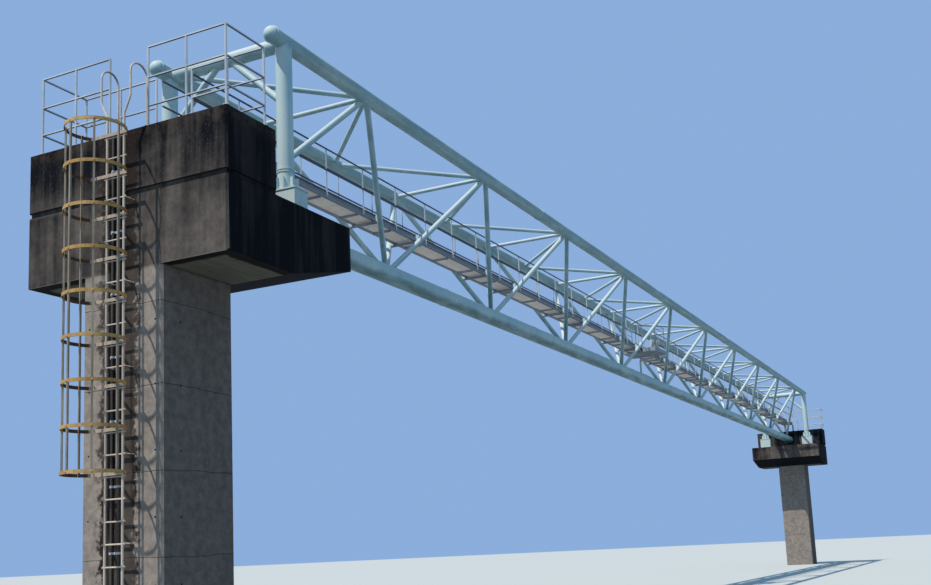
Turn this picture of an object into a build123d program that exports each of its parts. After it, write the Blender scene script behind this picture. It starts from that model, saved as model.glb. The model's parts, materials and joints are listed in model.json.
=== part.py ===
# Industrial pipe bridge at half of its real size.
# A water pipe is the bottom chord of a three-sided truss of welded tubes. Two top chords, the
# zigzag webs and a portal frame at each end stand on two concrete piers with corbelled heads.
# A narrow walkway runs inside the truss, and a caged ladder climbs the back of the near pier.
# X runs along the bridge from the near pier to the far one, +Y is the left side and Z is up.
# The origin is on the ground, in the middle of the whole length.
import os

from build123d import *

os.makedirs("parts", exist_ok=True)

# Truss layout
panel = 2550.0
panel_count = 10
chord_spacing = 1172.0
ledge_height = 3400.0
pipe_axis_rise = 238.0
chord_axis_rise = 1520.0

# Tubes of the truss
pipe_diameter = 190.0
chord_diameter = 134.0
column_diameter = 134.0
beam_diameter = 118.0
web_diameter = 57.0
lateral_diameter = 45.0
knee_diameter = 57.0
pipe_embedment = 150.0
pipe_ring_width = 14.0
pipe_ring_proud = 4.0
chord_overhang = 155.0
cap_depth = 62.0
beam_drop = 20.0
knee_foot_rise = 990.0
knee_head_offset = 45.0

# Column feet
shoe_length = 176.0
shoe_width = 278.0
shoe_height = 250.0
shoe_plate_margin = 7.0
shoe_plate_thickness = 12.0
rib_height = 100.0
rib_reach = 34.0
rib_thickness = 8.0
rib_count = 8
collar_rise = 424.0
collar_width = 10.0
collar_proud = 5.0

# Concrete piers
head_half_width = 928.0
pier_back = 1165.0
ledge_front = 390.0
ledge_front_depth = 354.0
head_depth = 539.0
parapet_front = 590.0
parapet_height = 489.0
rebate_height = 42.0
rebate_depth = 18.0
shaft_front = 407.0
shaft_half_width = 362.0
concrete_chamfer = 16.0

# Walkway inside the truss
deck_rise = 667.0
deck_width = 200.0
deck_thickness = 14.0
deck_inset = 12.0
deck_joint = 4.0
boards_per_panel = 4
channel_height = 66.0
channel_flange = 32.0
channel_web = 5.0
bearer_diameter = 32.0
walkway_landing = 90.0
handrail_rise = 463.0
handrail_middle_rise = 258.0
handrail_bar = 17.0
handrail_post = 15.0

# Platform over the air valve
platform_panel = 4.445
platform_length = 580.0
platform_width = 600.0
platform_shift = 83.0
platform_floor = 10.0
platform_height = 66.0
guard_inset = 12.0
guard_post = 15.0
guard_bar = 11.0
guard_bar_count = 5
valve_stem_diameter = 34.0
valve_stem_bend = 40.0
valve_branch_drop = 90.0
valve_offset = 225.0
valve_body_diameter = 88.0
valve_body_height = 128.0
valve_flange_diameter = 74.0
valve_flange_thickness = 10.0
valve_neck_height = 26.0
wheel_reach = 104.0
wheel_diameter = 110.0
wheel_rim = 9.0
wheel_spoke = 6.0
spindle_diameter = 14.0
spindle_end = 5.0

# Railings round the pier tops
railing_height = 600.0
railing_middle_height = 370.0
railing_low_height = 155.0
railing_inset = 22.5
railing_right_y = -911.0
railing_left_y = 815.0
railing_tube = 18.0
railing_side_front = 710.0
railing_post_pitch = 400.0
ladder_gap_right_y = -217.0
ladder_gap_left_y = 145.0
gate_right_y = -250.0
gate_left_y = 95.0

# Caged ladder on the near pier
ladder_centre = -31.0
ladder_half_width = 78.0
ladder_standoff = 100.0
ladder_bar = 18.0
ladder_foot = 60.0
ladder_top_rise = 80.0
rung_pitch = 150.0
rung_top_drop = 82.0
rung_diameter = 12.0
rung_end = 12.0
grab_flare = 58.0
grab_flare_height = 120.0
grab_reach = 165.0
grab_rise = 469.0
grab_tube = 15.0
bracket_pitch = 600.0
cage_radius = 212.0
cage_centre_back = 145.0
cage_centre_y = 12.0
cage_flat_width = 24.0
cage_flat_thickness = 6.0
hoop_count = 9
hoop_pitch = 300.0
hoop_top_drop = 60.0
strap_count = 5
strap_step = 50.0
strap_middle_turn = 172.0
strap_width = 14.0
conduit_diameter = 20.0
conduit_offsets = (12.0, 76.0)

# Places worked out from the driving dimensions
span = panel * panel_count
ladder_reach = pier_back + ladder_standoff
cage_reach = ladder_reach + cage_centre_back + cage_radius
overall_length = cage_reach + span + pier_back
near_x = -overall_length / 2 + cage_reach
far_x = near_x + span
mid_span = Plane.YZ.offset(near_x + span / 2)
valve_x = near_x + platform_panel * panel
pipe_z = ledge_height + pipe_axis_rise
chord_z = ledge_height + chord_axis_rise
chord_y = chord_spacing / 2
parapet_top = ledge_height + parapet_height
head_underside = ledge_height - head_depth
deck_z = ledge_height + deck_rise
platform_z = deck_z - platform_floor
platform_top = platform_z + platform_height
back_x = near_x - pier_back
railing_back_x = back_x + railing_inset
railing_front_x = near_x - railing_side_front
ladder_x = near_x - ladder_reach
ladder_top = parapet_top + ladder_top_rise
cage_x = ladder_x - cage_centre_back
walk_start = near_x - parapet_front - walkway_landing
walk_end = far_x + parapet_front + walkway_landing
walk_half = deck_width / 2 + channel_flange
node_stations = [near_x + index * panel for index in range(panel_count + 1)]
strut_stations = [near_x + (index + 0.5) * panel for index in range(panel_count)]


def bar(start, end, diameter):
    """A round bar between two points, added to the part being built."""
    run = Vector(*end) - Vector(*start)
    with Locations(Plane(origin=Vector(*start), z_dir=run).location):
        Cylinder(diameter / 2, run.length, align=(Align.CENTER, Align.CENTER, Align.MIN))


def plain_bar(start, end, size, sides=6):
    """A slim bar of few sides between two points, added to the part being built."""
    run = Vector(*end) - Vector(*start)
    with BuildSketch(Plane(origin=Vector(*start), z_dir=run)) as section:
        RegularPolygon(size / 2, sides)
    extrude(section.sketch, amount=run.length)


def write(piece, label):
    """Name a finished piece and write its file."""
    piece.part.label = label
    export_step(piece.part, f"parts/{label}.step")


# Concrete pier, the near one as modelled and the far one as its mirror image
with BuildPart() as near_pier_shaft:
    with BuildSketch(Plane.XY):
        with Locations((near_x - (pier_back + shaft_front) / 2, 0)):
            Rectangle(pier_back - shaft_front, 2 * shaft_half_width)
    extrude(amount=head_underside)
    chamfer(near_pier_shaft.edges().filter_by(Axis.Z), concrete_chamfer)
write(near_pier_shaft, "near_pier_shaft")

# The head overhangs the shaft on both sides, and its front is a corbel that tapers upwards.
with BuildPart() as near_pier_head:
    with BuildSketch(Plane.XZ):
        with BuildLine():
            Polyline(
                (near_x - pier_back, head_underside),
                (near_x - shaft_front, head_underside),
                (near_x + ledge_front, ledge_height - ledge_front_depth),
                (near_x + ledge_front, ledge_height),
                (near_x - pier_back, ledge_height),
                close=True,
            )
        make_face()
    extrude(amount=head_half_width, both=True)
    chamfer(near_pier_head.edges().filter_by(Axis.Z), concrete_chamfer)
    chamfer(near_pier_head.faces().sort_by(Axis.Z)[0].edges().filter_by(Axis.X), concrete_chamfer)
write(near_pier_head, "near_pier_head")

# The parapet block closes the end of the water pipe. A rebate round its foot draws a dark line.
with BuildPart() as near_parapet:
    with BuildSketch(Plane.XY.offset(ledge_height)):
        with Locations((near_x - (pier_back + parapet_front) / 2, 0)):
            Rectangle(pier_back - parapet_front, 2 * head_half_width)
    extrude(amount=parapet_height)
    chamfer(near_parapet.edges().filter_by(Axis.Z), concrete_chamfer)
    with BuildSketch(Plane.XY.offset(ledge_height)):
        with Locations((near_x - (pier_back + parapet_front) / 2, 0)):
            Rectangle(pier_back - parapet_front, 2 * head_half_width)
            with Locations((rebate_depth / 2, 0)):
                Rectangle(
                    pier_back - parapet_front - rebate_depth,
                    2 * (head_half_width - rebate_depth),
                    mode=Mode.SUBTRACT,
                )
    extrude(amount=rebate_height, mode=Mode.SUBTRACT)
    with BuildSketch(Plane.YZ.offset(near_x - parapet_front)):
        with Locations((0, pipe_z)):
            Circle(pipe_diameter / 2)
    extrude(amount=-pipe_embedment, mode=Mode.SUBTRACT)
write(near_parapet, "near_parapet")

with BuildPart() as far_pier_shaft:
    mirror(near_pier_shaft.part, about=mid_span)
write(far_pier_shaft, "far_pier_shaft")

with BuildPart() as far_pier_head:
    mirror(near_pier_head.part, about=mid_span)
write(far_pier_head, "far_pier_head")

with BuildPart() as far_parapet:
    mirror(near_parapet.part, about=mid_span)
write(far_parapet, "far_parapet")

# Water pipe, one length from socket to socket with a weld ring at each strut station
pipe_start = near_x - parapet_front - pipe_embedment
pipe_end = far_x + parapet_front + pipe_embedment
with BuildPart() as main_pipe:
    bar((pipe_start, 0, pipe_z), (pipe_end, 0, pipe_z), pipe_diameter)
    for station in strut_stations:
        bar(
            (station - pipe_ring_width / 2, 0, pipe_z),
            (station + pipe_ring_width / 2, 0, pipe_z),
            pipe_diameter + 2 * pipe_ring_proud,
        )
write(main_pipe, "main_pipe")


# Top chords, one straight tube each
def chord(side):
    """Add the straight chord tube of one side, -1 for the right and 1 for the left."""
    bar(
        (near_x - chord_overhang, side * chord_y, chord_z),
        (far_x + chord_overhang, side * chord_y, chord_z),
        chord_diameter,
    )


with BuildPart() as right_chord:
    chord(-1)
write(right_chord, "right_chord")

with BuildPart() as left_chord:
    chord(1)
write(left_chord, "left_chord")

# Dished caps close the four chord ends. Each is a half ellipse turned about the chord's axis.
with BuildPart() as chord_end_caps:
    for side in (-1, 1):
        for end_x, outward in ((near_x - chord_overhang, -1), (far_x + chord_overhang, 1)):
            cap_plane = Plane((end_x, side * chord_y, chord_z), x_dir=(outward, 0, 0), z_dir=(0, -1, 0))
            with BuildSketch(cap_plane) as cap_profile:
                Ellipse(cap_depth, chord_diameter / 2)
                with Locations((cap_depth, 0)):
                    Rectangle(2 * cap_depth, 2 * chord_diameter, mode=Mode.INTERSECT)
                with Locations((0, -chord_diameter)):
                    Rectangle(4 * cap_depth, 2 * chord_diameter, mode=Mode.SUBTRACT)
            revolve(cap_profile.sketch, axis=Axis((end_x, side * chord_y, chord_z), (1, 0, 0)))
write(chord_end_caps, "chord_end_caps")

# Bearing shoes: a steel box with a top plate, and ribs that brace the foot of the column
shoe_top = ledge_height + shoe_height + shoe_plate_thickness
with BuildPart() as near_bearing_shoes:
    for side in (-1, 1):
        with BuildSketch(Plane.XY.offset(ledge_height)):
            with Locations((near_x, side * chord_y)):
                Rectangle(shoe_length, shoe_width)
        extrude(amount=shoe_height)
        with BuildSketch(Plane.XY.offset(ledge_height + shoe_height)):
            with Locations((near_x, side * chord_y)):
                Rectangle(shoe_length + 2 * shoe_plate_margin, shoe_width + 2 * shoe_plate_margin)
        extrude(amount=shoe_plate_thickness)
        for index in range(rib_count):
            turn = 360 * (index + 0.5) / rib_count
            rib_plane = Plane((near_x, side * chord_y, shoe_top), z_dir=(0, 0, 1)).rotated((0, 0, turn))
            with BuildSketch(rib_plane):
                with Locations((column_diameter / 2 + rib_reach / 2, 0)):
                    Rectangle(rib_reach, rib_thickness)
            extrude(amount=rib_height)
write(near_bearing_shoes, "near_bearing_shoes")

with BuildPart() as far_bearing_shoes:
    mirror(near_bearing_shoes.part, about=mid_span)
write(far_bearing_shoes, "far_bearing_shoes")


# Portal columns: upright tubes with a saddle cut under the chord and a collar over the ribs
def column(side):
    """Add one upright column of the near portal and cut its head to the chord."""
    foot = (near_x, side * chord_y, shoe_top)
    bar(foot, (near_x, side * chord_y, chord_z), column_diameter)
    for lift in (-collar_width, collar_width):
        collar_z = ledge_height + collar_rise + lift
        bar(
            (near_x, side * chord_y, collar_z - collar_width / 2),
            (near_x, side * chord_y, collar_z + collar_width / 2),
            column_diameter + 2 * collar_proud,
        )


with BuildPart() as near_right_column:
    column(-1)
    add(right_chord.part, mode=Mode.SUBTRACT)
write(near_right_column, "near_right_column")

with BuildPart() as near_left_column:
    column(1)
    add(left_chord.part, mode=Mode.SUBTRACT)
write(near_left_column, "near_left_column")

with BuildPart() as far_right_column:
    mirror(near_right_column.part, about=mid_span)
write(far_right_column, "far_right_column")

with BuildPart() as far_left_column:
    mirror(near_left_column.part, about=mid_span)
write(far_left_column, "far_left_column")

# Portal beam between the column heads, with its ends cut to the columns and chords
beam_z = chord_z - beam_drop
with BuildPart() as beam_cut:
    bar((near_x, -chord_y, beam_z), (near_x, chord_y, beam_z), beam_diameter)
    for neighbour in (right_chord, left_chord, near_right_column, near_left_column):
        add(neighbour.part, mode=Mode.SUBTRACT)
with BuildPart() as near_portal_beam:
    add(beam_cut.solids().sort_by(SortBy.VOLUME)[-1])
write(near_portal_beam, "near_portal_beam")

# Knee braces from the middle of the beam down to the columns
with BuildPart() as braces_cut:
    for side in (-1, 1):
        bar(
            (near_x, side * knee_head_offset, beam_z),
            (near_x, side * chord_y, ledge_height + knee_foot_rise),
            knee_diameter,
        )
    for neighbour in (near_portal_beam, near_right_column, near_left_column):
        add(neighbour.part, mode=Mode.SUBTRACT)
with BuildPart() as near_knee_braces:
    add(braces_cut.solids().sort_by(SortBy.VOLUME)[-2:])
write(near_knee_braces, "near_knee_braces")

with BuildPart() as far_portal_beam:
    mirror(near_portal_beam.part, about=mid_span)
write(far_portal_beam, "far_portal_beam")

with BuildPart() as far_knee_braces:
    mirror(near_knee_braces.part, about=mid_span)
write(far_knee_braces, "far_knee_braces")


# Web tubes: a zigzag on each side, every end saddle-cut to the chord or to the pipe
def web(side, chord_part):
    """Add the zigzag of one side and cut it to its chord and to the pipe."""
    for left_station, top_station, right_station in zip(
        node_stations, strut_stations, node_stations[1:]
    ):
        for foot_station in (left_station, right_station):
            bar((foot_station, 0, pipe_z), (top_station, side * chord_y, chord_z), web_diameter)
    add(chord_part, mode=Mode.SUBTRACT)
    add(main_pipe.part, mode=Mode.SUBTRACT)


with BuildPart() as right_web_cut:
    web(-1, right_chord.part)
with BuildPart() as right_web:
    add(right_web_cut.solids().sort_by(SortBy.VOLUME)[-2 * panel_count :])
write(right_web, "right_web")

with BuildPart() as left_web_cut:
    web(1, left_chord.part)
with BuildPart() as left_web:
    add(left_web_cut.solids().sort_by(SortBy.VOLUME)[-2 * panel_count :])
write(left_web, "left_web")

# Cross struts and slanting laterals between the two chords
with BuildPart() as top_struts_cut:
    for station in strut_stations:
        bar((station, -chord_y, chord_z), (station, chord_y, chord_z), lateral_diameter)
    add(right_chord.part, mode=Mode.SUBTRACT)
    add(left_chord.part, mode=Mode.SUBTRACT)
with BuildPart() as top_struts:
    add(top_struts_cut.solids().sort_by(SortBy.VOLUME)[-panel_count:])
write(top_struts, "top_struts")

with BuildPart() as top_laterals_cut:
    for station in strut_stations:
        for step in (-0.5, 0.5):
            bar(
                (station, -chord_y, chord_z),
                (station + step * panel, chord_y, chord_z),
                lateral_diameter,
            )
    for neighbour in (right_chord, left_chord, near_portal_beam, far_portal_beam):
        add(neighbour.part, mode=Mode.SUBTRACT)
with BuildPart() as top_laterals:
    add(top_laterals_cut.solids().sort_by(SortBy.VOLUME)[-2 * panel_count :])
write(top_laterals, "top_laterals")


# Walkway: side channels, deck boards and cross bearers hung between the webs
def side_channel(side):
    """Add one side channel, a C section with its flanges turned to the outside."""
    with BuildSketch(Plane.YZ.offset(walk_start)) as section:
        with Locations((side * (deck_width / 2 + channel_flange / 2), deck_z + channel_height / 2)):
            Rectangle(channel_flange, channel_height)
            with Locations((side * channel_web, 0)):
                Rectangle(
                    channel_flange,
                    channel_height - 2 * channel_web,
                    mode=Mode.SUBTRACT,
                )
    extrude(section.sketch, amount=walk_end - walk_start)


with BuildPart() as right_channel:
    side_channel(-1)
write(right_channel, "right_walkway_channel")

with BuildPart() as left_channel:
    side_channel(1)
write(left_channel, "left_walkway_channel")

board_pitch = panel / boards_per_panel
board_count = round((walk_end - walk_start) / board_pitch)
board_length = (walk_end - walk_start) / board_count
with BuildPart() as walkway_deck:
    for index in range(board_count):
        with BuildSketch(Plane.XY.offset(deck_z + deck_inset)) as board:
            with Locations((walk_start + (index + 0.5) * board_length, 0)):
                Rectangle(board_length - deck_joint, deck_width)
        extrude(board.sketch, amount=deck_thickness)
write(walkway_deck, "walkway_deck")

# Each bearer spans between the two web tubes that cross its level.
bearer_z = deck_z - bearer_diameter / 2
climb = (bearer_z - pipe_z) / (chord_z - pipe_z)
with BuildPart() as bearers_cut:
    for station in node_stations:
        for step in (-1, 1):
            bearer_x = station + step * climb * panel / 2
            if near_x < bearer_x < far_x:
                bar(
                    (bearer_x, -climb * chord_y, bearer_z),
                    (bearer_x, climb * chord_y, bearer_z),
                    bearer_diameter,
                )
    add(right_web.part, mode=Mode.SUBTRACT)
    add(left_web.part, mode=Mode.SUBTRACT)
with BuildPart() as walkway_bearers:
    add(bearers_cut.solids().sort_by(SortBy.VOLUME)[-2 * panel_count :])
write(walkway_bearers, "walkway_bearers")

# Short stools carry the ends of the walkway on the parapets.
stool_x = near_x - parapet_front - walkway_landing / 2
with BuildPart() as near_walkway_stool:
    for side in (-1, 1):
        with BuildSketch(Plane.XY.offset(parapet_top)):
            with Locations((stool_x, side * (deck_width / 2 + channel_flange / 2))):
                Rectangle(walkway_landing / 2, channel_flange)
        extrude(amount=deck_z - parapet_top)
write(near_walkway_stool, "near_walkway_stools")

with BuildPart() as far_walkway_stool:
    mirror(near_walkway_stool.part, about=mid_span)
write(far_walkway_stool, "far_walkway_stools")

# Platform beside the air valve: a crosswise box that the two channels and the deck lie in. It
# reaches further to the valve's side.
# A barred guard closes each end, and short returns join the guards to the handrails.
post_y = walk_half + handrail_post / 2
right_guard_y = -platform_shift - platform_width / 2 + guard_inset
left_guard_y = -platform_shift + platform_width / 2 - guard_inset
guard_half = platform_length / 2 - guard_inset
guard_height = deck_z + handrail_rise - platform_top
with BuildPart() as valve_platform:
    with BuildSketch(Plane.YZ.offset(valve_x - platform_length / 2)):
        with Locations((-platform_shift, platform_z + platform_height / 2)):
            Rectangle(platform_width, platform_height)
        with Locations((0, deck_z + channel_height / 2)):
            Rectangle(2 * walk_half, channel_height, mode=Mode.SUBTRACT)
    extrude(amount=platform_length)
    with Locations((valve_x, -valve_offset, platform_top)):
        Cylinder(valve_stem_diameter / 2, 4 * platform_height, mode=Mode.SUBTRACT)
    for guard_y, inner_y in ((right_guard_y, -post_y), (left_guard_y, post_y)):
        for end in (-1, 1):
            post_x = valve_x + end * guard_half
            for lateral in (guard_y, inner_y):
                plain_bar(
                    (post_x, lateral, platform_top),
                    (post_x, lateral, platform_top + guard_height),
                    guard_post,
                    sides=4,
                )
            for rise in (handrail_middle_rise, handrail_rise):
                plain_bar(
                    (post_x, inner_y, deck_z + rise),
                    (post_x, guard_y, deck_z + rise),
                    guard_bar,
                )
        for index in range(guard_bar_count):
            bar_z = platform_top + (index + 1) * guard_height / guard_bar_count
            plain_bar(
                (valve_x - guard_half, guard_y, bar_z),
                (valve_x + guard_half, guard_y, bar_z),
                guard_bar,
            )
write(valve_platform, "valve_platform")

# Air valve: a branch leaves the top of the pipe, turns out under the deck and comes up through
# the right wing of the platform to the valve's body, which has its own shut-off handwheel
branch_z = deck_z - valve_branch_drop
body_foot = platform_top + valve_neck_height
body_top = body_foot + valve_flange_thickness + valve_body_height
wheel_z = body_foot + valve_body_height / 2
with BuildPart() as air_valve:
    with BuildLine() as stem_path:
        FilletPolyline(
            (valve_x, 0, pipe_z),
            (valve_x, 0, branch_z),
            (valve_x, -valve_offset, branch_z),
            (valve_x, -valve_offset, body_foot),
            radius=valve_stem_bend,
        )
    with BuildSketch(Plane((valve_x, 0, pipe_z), z_dir=(0, 0, 1))) as stem_section:
        Circle(valve_stem_diameter / 2)
    sweep(stem_section.sketch, path=stem_path.line)
    with BuildSketch(Plane.XZ.offset(valve_offset)) as body_section:
        with BuildLine():
            Polyline(
                (valve_x, body_foot - valve_flange_thickness),
                (valve_x + valve_flange_diameter / 2, body_foot - valve_flange_thickness),
                (valve_x + valve_flange_diameter / 2, body_foot),
                (valve_x + valve_body_diameter / 2, body_foot + valve_flange_thickness),
                (valve_x + valve_body_diameter / 2, body_top),
                (valve_x + valve_flange_diameter / 2, body_top + valve_flange_thickness),
                (valve_x, body_top + valve_flange_thickness),
                close=True,
            )
        make_face()
    revolve(body_section.sketch, axis=Axis((valve_x, -valve_offset, 0), (0, 0, 1)))
    wheel_y = -valve_offset - wheel_reach
    bar(
        (valve_x, -valve_offset, wheel_z),
        (valve_x, wheel_y - spindle_end, wheel_z),
        spindle_diameter,
    )
    wheel_radius = wheel_diameter / 2
    with BuildSketch(Plane.YZ.offset(valve_x)) as rim_section:
        with Locations((wheel_y, wheel_z + wheel_radius)):
            RegularPolygon(wheel_rim / 2, 6)
    revolve(rim_section.sketch, axis=Axis((valve_x, wheel_y, wheel_z), (0, 1, 0)))
    for lean_x, lean_z in ((wheel_radius, 0), (0, wheel_radius)):
        plain_bar(
            (valve_x - lean_x, wheel_y, wheel_z - lean_z),
            (valve_x + lean_x, wheel_y, wheel_z + lean_z),
            wheel_spoke,
            sides=4,
        )
    add(main_pipe.part, mode=Mode.SUBTRACT)
write(air_valve, "air_valve")


# Walkway handrails: posts on the channels, with a middle and a top rail. They stop at the corner
# posts of the platform, whose own guards take over.
def handrail(side):
    """Add one side's handrail as two flat frames of slim bars, cut to the platform's posts."""
    rail_y = side * post_y
    for index in range(panel_count * boards_per_panel + 1):
        post_x = near_x + index * board_pitch
        if abs(post_x - valve_x) > platform_length / 2:
            plain_bar(
                (post_x, rail_y, deck_z),
                (post_x, rail_y, deck_z + handrail_rise),
                handrail_post,
                sides=4,
            )
    for rise in (handrail_middle_rise, handrail_rise):
        for start, end in (
            (near_x - parapet_front, valve_x - guard_half),
            (valve_x + guard_half, far_x + parapet_front),
        ):
            plain_bar((start, rail_y, deck_z + rise), (end, rail_y, deck_z + rise), handrail_bar)
    add(valve_platform.part, mode=Mode.SUBTRACT)


with BuildPart() as right_handrail_cut:
    handrail(-1)
with BuildPart() as right_handrail:
    add(right_handrail_cut.solids().sort_by(SortBy.VOLUME)[-2:])
write(right_handrail, "right_handrail")

with BuildPart() as left_handrail_cut:
    handrail(1)
with BuildPart() as left_handrail:
    add(left_handrail_cut.solids().sort_by(SortBy.VOLUME)[-2:])
write(left_handrail, "left_handrail")


# Railings round each pier top
def rails(start, end, base_z):
    """Add the three rails of a railing from start to end."""
    for height in (railing_low_height, railing_middle_height, railing_height):
        plain_bar(
            (start[0], start[1], base_z + height),
            (end[0], end[1], base_z + height),
            railing_tube,
        )


def railing(start, end, base_z):
    """Add a flat railing from start to end, with posts, two rails and a top rail."""
    run = Vector(*end) - Vector(*start)
    bays = max(1, round(run.length / railing_post_pitch))
    for index in range(bays + 1):
        place = Vector(*start) + run * (index / bays)
        plain_bar(
            (place.X, place.Y, base_z),
            (place.X, place.Y, base_z + railing_height),
            railing_tube,
        )
    rails(start, end, base_z)


railing_ends = (
    (railing_right_y, ladder_gap_right_y, gate_right_y),
    (railing_left_y, ladder_gap_left_y, gate_left_y),
)
with BuildPart() as near_back_railing:
    for corner_y, gap_y, gate_y in railing_ends:
        railing((railing_back_x, gap_y), (railing_back_x, corner_y), parapet_top)
write(near_back_railing, "near_back_railing")

with BuildPart() as near_front_railing:
    for corner_y, gap_y, gate_y in railing_ends:
        railing((railing_front_x, gate_y), (railing_front_x, corner_y), parapet_top)
write(near_front_railing, "near_front_railing")

# The side rails share the corner posts, so their ends are cut to those posts.
with BuildPart() as near_side_railings:
    for corner_y, gap_y, gate_y in railing_ends:
        rails((railing_back_x, corner_y), (railing_front_x, corner_y), parapet_top)
    add(near_back_railing.part, mode=Mode.SUBTRACT)
    add(near_front_railing.part, mode=Mode.SUBTRACT)
write(near_side_railings, "near_side_railings")

# The far pier has no ladder, so its back railing runs from corner to corner.
far_back_x = 2 * mid_span.origin.X - railing_back_x
with BuildPart() as far_back_railing:
    railing((far_back_x, railing_right_y), (far_back_x, railing_left_y), parapet_top)
write(far_back_railing, "far_back_railing")

with BuildPart() as far_side_railings:
    mirror(near_side_railings.part, about=mid_span)
write(far_side_railings, "far_side_railings")

with BuildPart() as far_front_railing:
    mirror(near_front_railing.part, about=mid_span)
write(far_front_railing, "far_front_railing")

# Ladder: two stringers and the rungs between them, with rung ends that show outside
top_rung_z = parapet_top - rung_top_drop
rung_count = int((top_rung_z - ladder_foot) // rung_pitch) + 1
rung_half = ladder_half_width + ladder_bar / 2 + rung_end
with BuildPart() as ladder:
    for side in (-1, 1):
        plain_bar(
            (ladder_x, ladder_centre + side * ladder_half_width, ladder_foot),
            (ladder_x, ladder_centre + side * ladder_half_width, ladder_top),
            ladder_bar,
            sides=8,
        )
    for index in range(rung_count):
        rung_z = top_rung_z - index * rung_pitch
        plain_bar(
            (ladder_x, ladder_centre - rung_half, rung_z),
            (ladder_x, ladder_centre + rung_half, rung_z),
            rung_diameter,
        )
write(ladder, "ladder")

# Grab hoops: the stringers flare above the parapet, bend over and come down on its top
with BuildPart() as grab_hoops:
    for side in (-1, 1):
        stringer_y = ladder_centre + side * ladder_half_width
        flared_y = stringer_y + side * grab_flare
        with BuildLine() as hoop_path:
            FilletPolyline(
                (ladder_x, stringer_y, ladder_top),
                (ladder_x, flared_y, ladder_top + grab_flare_height),
                (ladder_x, flared_y, parapet_top + grab_rise),
                (ladder_x + grab_reach, flared_y, parapet_top + grab_rise),
                (ladder_x + grab_reach, flared_y, parapet_top),
                radius=grab_reach / 2 - 1,
            )
        with BuildSketch(Plane(hoop_path.line @ 0, z_dir=hoop_path.line % 0)) as hoop_section:
            RegularPolygon(grab_tube / 2, 8)
        sweep(hoop_section.sketch, path=hoop_path.line)
    add(ladder.part, mode=Mode.SUBTRACT)
write(grab_hoops, "ladder_grab_hoops")

# Ladder brackets back to the concrete
bracket_count = int((parapet_top - ladder_foot) // bracket_pitch)
with BuildPart() as ladder_brackets:
    for side in (-1, 1):
        for index in range(bracket_count):
            bracket_z = ladder_foot + (index + 0.5) * bracket_pitch
            bracket_y = ladder_centre + side * ladder_half_width
            plain_bar(
                (ladder_x + ladder_bar / 2, bracket_y, bracket_z),
                (back_x, bracket_y, bracket_z),
                rung_diameter,
                sides=4,
            )
write(ladder_brackets, "ladder_brackets")

# Cage: flat hoops round the climber, each closed by a straight bar across the ladder, and upright
# straps inside them
hoop_top = parapet_top - hoop_top_drop
hoop_bottom = hoop_top - (hoop_count - 1) * hoop_pitch
hoop_close_x = ladder_x - ladder_bar / 2
with BuildPart() as ladder_cage:
    for index in range(hoop_count):
        with BuildSketch(Plane.XY.offset(hoop_top - index * hoop_pitch - cage_flat_width / 2)) as hoop:
            with Locations((cage_x, cage_centre_y)):
                Circle(cage_radius)
            with Locations((hoop_close_x + cage_radius, cage_centre_y)):
                Rectangle(2 * cage_radius, 2 * cage_radius, mode=Mode.SUBTRACT)
            offset(amount=-cage_flat_thickness, mode=Mode.SUBTRACT)
        extrude(hoop.sketch, amount=cage_flat_width)
    for index in range(strap_count):
        turn = strap_middle_turn + (index - (strap_count - 1) / 2) * strap_step
        strap_plane = Plane((cage_x, cage_centre_y, hoop_bottom - cage_flat_width / 2)).rotated((0, 0, turn))
        with BuildSketch(strap_plane) as strap:
            with Locations((cage_radius - 1.5 * cage_flat_thickness, 0)):
                Rectangle(2 * cage_flat_thickness, strap_width)
        extrude(strap.sketch, amount=hoop_top - hoop_bottom + cage_flat_width)
write(ladder_cage, "ladder_cage")

# Two conduits up the back of the pier, beside the ladder's middle
with BuildPart() as pier_conduits:
    for offset in conduit_offsets:
        bar(
            (back_x - conduit_diameter / 2, offset, 0),
            (back_x - conduit_diameter / 2, offset, parapet_top),
            conduit_diameter,
        )
write(pier_conduits, "pier_conduits")
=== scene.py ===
# %% [markdown]
# # A tube truss bridge with a walkway, at half of its real size
# The bridge's solids are already there when this lesson starts. What is left is how they look:
# chalky aqua paint, weathered concrete, rust, and small fittings such as bolts, clips and weld
# beads. Everything is in metres, Z is up and X runs along the bridge.

# %% Load the solids
import json
import math
from itertools import product

import bmesh
import bpy
from mathutils import Matrix, Vector


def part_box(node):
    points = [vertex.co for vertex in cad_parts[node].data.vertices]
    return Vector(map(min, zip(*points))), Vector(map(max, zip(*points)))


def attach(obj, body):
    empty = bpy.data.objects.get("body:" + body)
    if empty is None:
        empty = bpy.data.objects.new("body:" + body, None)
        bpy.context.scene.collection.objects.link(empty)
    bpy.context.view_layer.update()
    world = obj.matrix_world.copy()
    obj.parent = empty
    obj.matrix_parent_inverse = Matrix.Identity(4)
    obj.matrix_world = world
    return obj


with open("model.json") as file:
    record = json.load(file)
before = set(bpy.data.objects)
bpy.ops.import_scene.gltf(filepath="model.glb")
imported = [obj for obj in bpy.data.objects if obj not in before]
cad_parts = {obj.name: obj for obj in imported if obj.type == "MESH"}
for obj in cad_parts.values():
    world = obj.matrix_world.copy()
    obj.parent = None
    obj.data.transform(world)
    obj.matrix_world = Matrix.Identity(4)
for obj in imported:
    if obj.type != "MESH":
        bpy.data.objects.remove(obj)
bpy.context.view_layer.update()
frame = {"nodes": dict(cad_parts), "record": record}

# %% [markdown]
# The bridge's own measures come from the solids, so a fitting stays in place when a size changes.
# The web tubes meet the pipe at the nodes, and the struts are halfway between them. A pier's head
# starts at HEAD_Z, the truss stands on its ledge at LEDGE_Z, and its parapet ends at PARAPET_Z.

# %% Measure the bridge
def middle(node):
    """The middle of a solid's box."""
    low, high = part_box(node)
    return (Vector(low) + Vector(high)) / 2


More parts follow.
